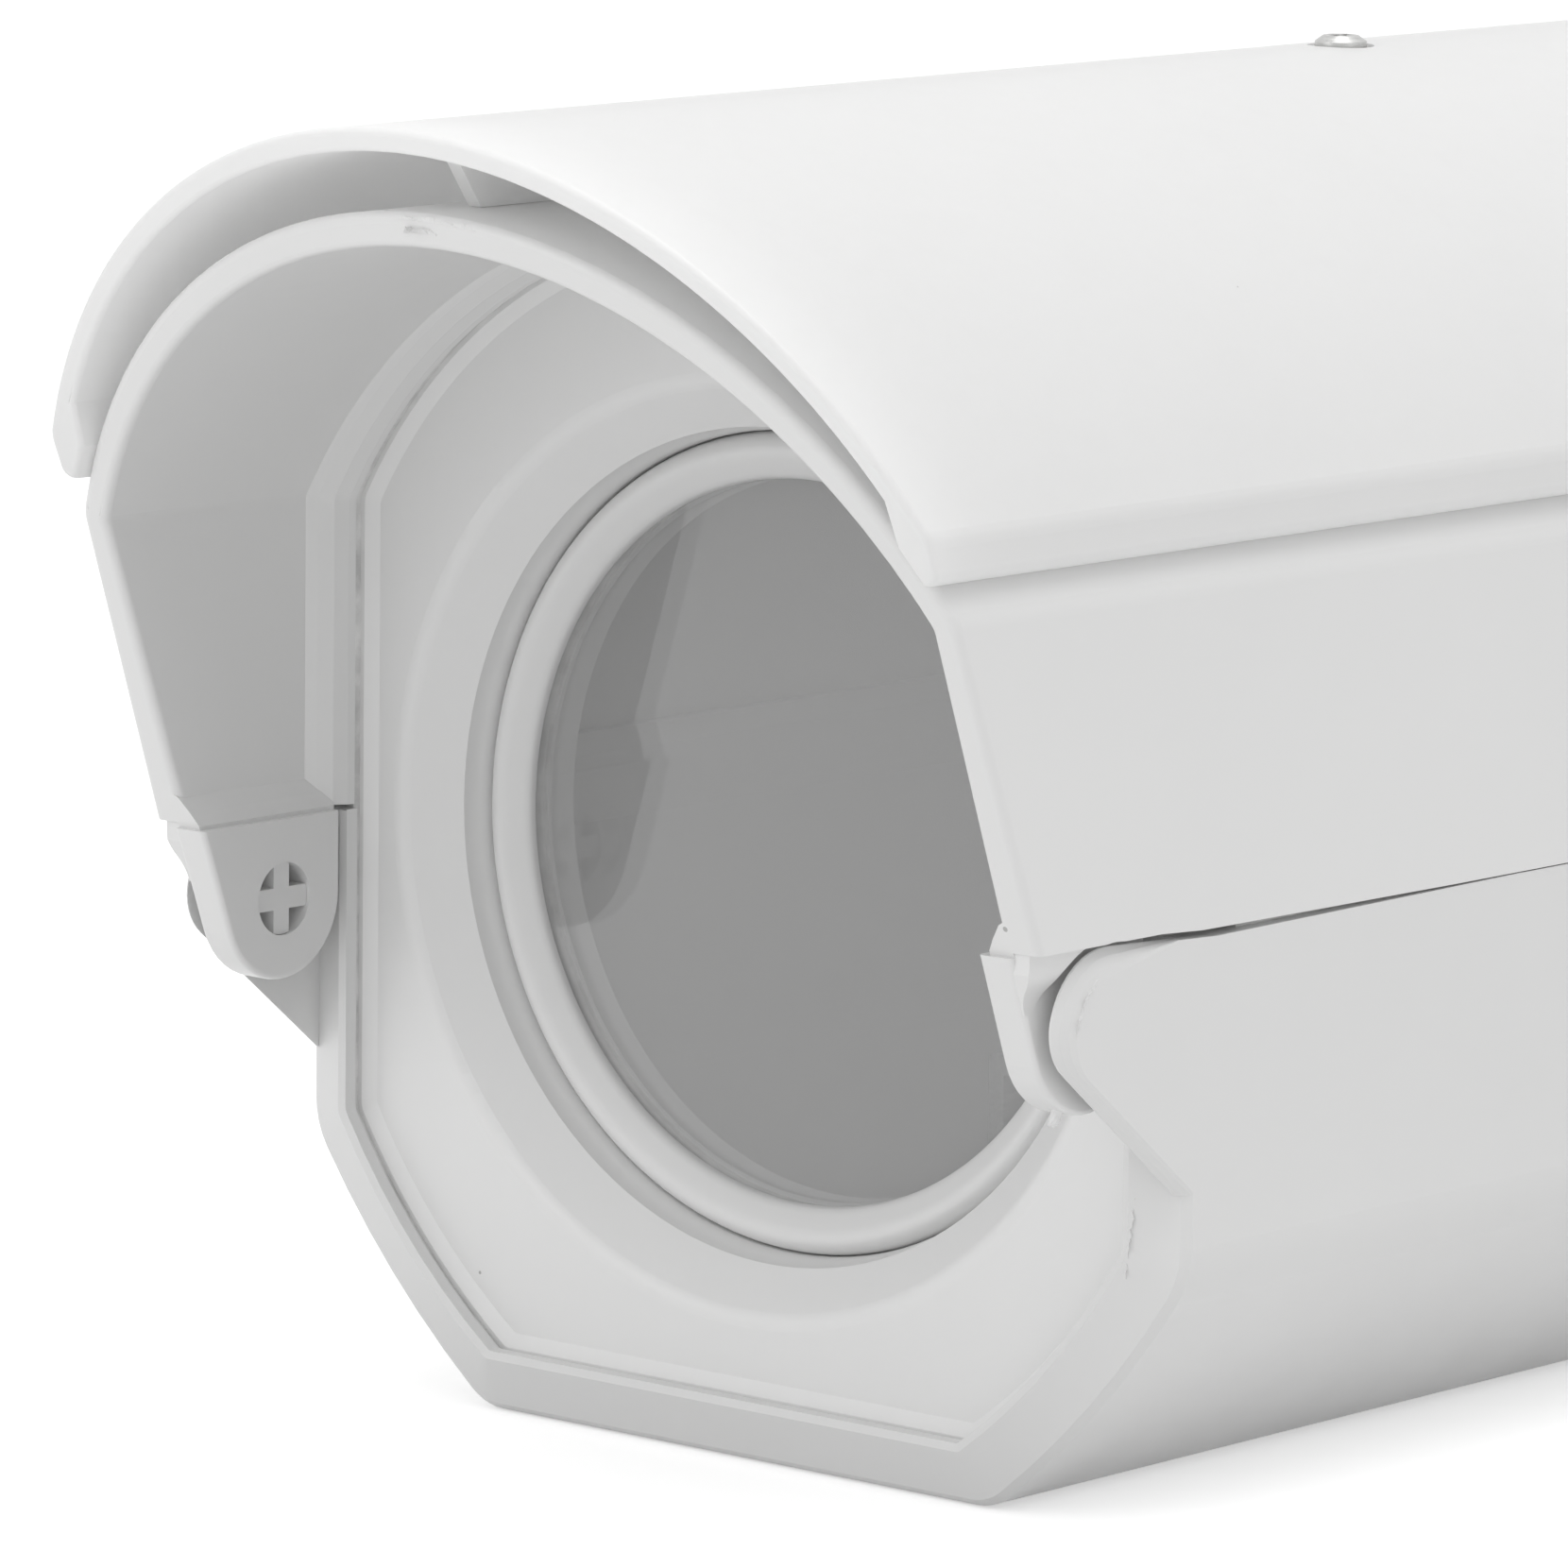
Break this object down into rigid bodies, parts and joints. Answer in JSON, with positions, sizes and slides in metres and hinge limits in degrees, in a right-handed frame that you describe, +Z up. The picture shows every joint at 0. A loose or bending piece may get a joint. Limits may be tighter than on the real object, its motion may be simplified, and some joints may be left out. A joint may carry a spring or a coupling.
{
  "type": "security camera housing",
  "caption": "Outdoor camera housing with a round window, deep visor, hinged lid under a sunshield, a sliding camera tray and cable glands in the rear wall.",
  "frame": {"origin": "midway between the mouths of the two bracket threads, in the plane of the flat underside", "axes": "+Z up, -Y towards the window and visor, +X to the right of someone who looks along +Y at the window"},
  "size_m": [0.1142, 0.3539, 0.1352],
  "materials": {
    "lower_shell": "satin white moulded",
    "upper_shell": "satin white moulded",
    "front_plate": "satin white moulded",
    "sunshield": "satin white moulded",
    "ring_plastic": "satin white moulded",
    "window_glass": "clear, polished",
    "grey_rubber": "soft grey",
    "pale_rubber": "pale silicone",
    "black_rubber": "soft black",
    "steel": "bare stainless",
    "brass": "bare turned",
    "tray_metal": "bare sheet",
    "knob_plastic": "black moulded",
    "gland_plastic": "light grey nylon"
  },
  "bodies": {
    "base": {"lower_shell": "lower_shell", "front_plate": "front_plate", "window_retaining_ring": "ring_plastic", "window_glass": "window_glass", "window_gasket": "pale_rubber", "plate_seal": "grey_rubber", "lid_gasket": "pale_rubber", "closing_inserts": "brass", "bracket_inserts": "brass", "tray_lock_screw": "knob_plastic", "tray_lock_washer": "steel", "tray_lock_insert": "brass", "gland_body_left": "gland_plastic", "gland_cap_left": "gland_plastic", "gland_locknut_left": "gland_plastic", "gland_seal_left": "black_rubber", "gland_ring_left": "black_rubber", "gland_body_right": "gland_plastic", "gland_cap_right": "gland_plastic", "gland_locknut_right": "gland_plastic", "gland_seal_right": "black_rubber", "gland_ring_right": "black_rubber"},
    "lid": {"upper_shell": "upper_shell", "sunshield": "sunshield", "sunshield_screws": "steel", "sunshield_washers": "steel", "closing_screws": "steel", "closing_washers": "steel"},
    "tray": {"camera_tray": "tray_metal", "camera_screw": "steel", "camera_screw_washer": "black_rubber"}
  },
  "joints": [
    {"name": "lid_hinge", "type": "hinge", "parent": "base", "child": "lid", "pos_m": [0, -0.1519, 0.05115], "axis": [1, 0, 0], "range_deg": [0, 80]},
    {"name": "tray_slide", "type": "slide", "parent": "base", "child": "tray", "axis": [0, 1, 0], "range_m": [-0.018, 0.018]}
  ]
}
